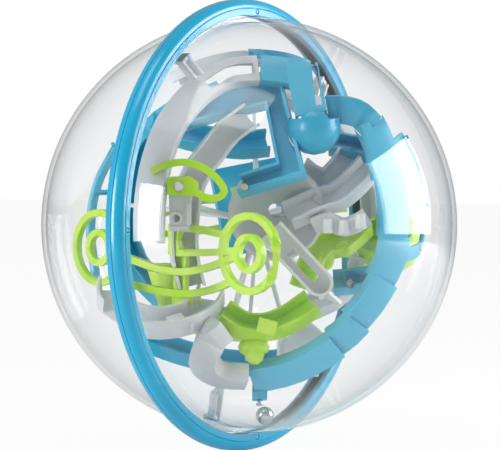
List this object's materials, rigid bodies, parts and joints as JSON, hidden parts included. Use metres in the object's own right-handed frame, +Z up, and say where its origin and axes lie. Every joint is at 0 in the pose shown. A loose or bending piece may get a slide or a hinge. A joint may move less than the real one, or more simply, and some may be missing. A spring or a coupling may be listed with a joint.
{
  "type": "3d maze ball puzzle",
  "caption": "Hand-held clear sphere with a grip ring round its seam, a maze of moulded ball tracks inside and a loose steel ball.",
  "frame": {"origin": "middle of the sphere", "axes": "+X along the grip ring's axis, out of the right shell; +Z up; the maze's front looks to -Y and +X"},
  "size_m": [0.184, 0.2, 0.2],
  "materials": {
    "clear_shell": "clear glossy polystyrene",
    "ring_blue": "glossy moulded",
    "maze_blue": "moulded",
    "maze_green": "moulded",
    "maze_white": "moulded",
    "screw_steel": "plated",
    "ball_steel": "polished"
  },
  "bodies": {
    "frame": {"left_shell": "clear_shell", "right_shell": "clear_shell", "left_ring_half": "ring_blue", "right_ring_half": "ring_blue", "ring_pin_1": "ring_blue", "ring_pin_2": "ring_blue", "ring_pin_3": "ring_blue", "ring_pin_4": "ring_blue", "blue_top_track": "maze_blue", "blue_drum": "maze_blue", "blue_arm_track": "maze_blue", "blue_stair_track": "maze_blue", "blue_rim_rail": "maze_blue", "blue_frame_tray": "maze_blue", "blue_top_cap": "maze_blue", "blue_inner_track": "maze_blue", "blue_left_arc": "maze_blue", "blue_bottom_track": "maze_blue", "blue_cross_bar_upper": "maze_blue", "blue_cross_bar_lower": "maze_blue", "blue_clip": "maze_blue", "back_blue_track": "maze_blue", "back_blue_square": "maze_blue", "green_loop_rail": "maze_green", "green_hook": "maze_green", "rail_clip": "maze_green", "green_chute": "maze_green", "green_bump_track": "maze_green", "green_wavy_track": "maze_green", "green_bowl": "maze_green", "back_green_loop": "maze_green", "back_green_trough": "maze_green", "hook_peg": "maze_white", "white_arc_track": "maze_white", "white_bracket": "maze_white", "white_bowl_track": "maze_white", "white_front_track": "maze_white", "white_c_track": "maze_white", "white_loop_track": "maze_white", "white_hand_stop": "maze_white", "white_arm_track": "maze_white", "white_fork_track": "maze_white", "white_panel": "maze_white", "white_core_dish": "maze_white", "back_white_track": "maze_white", "top_white_track": "maze_white", "core_hub": "maze_white", "top_front_strut": "maze_white", "bottom_front_strut": "maze_white", "top_back_strut": "maze_white", "bottom_back_strut": "maze_white", "joint_screw_1": "screw_steel", "joint_screw_2": "screw_steel", "joint_screw_3": "screw_steel", "joint_screw_4": "screw_steel"},
    "ball": {"steel_ball": "ball_steel"}
  },
  "joints": [
    {"name": "ball_roll", "type": "hinge", "parent": "frame", "child": "ball", "pos_m": [0, 0, 0], "axis": [1, 0, 0], "continuous": true}
  ]
}
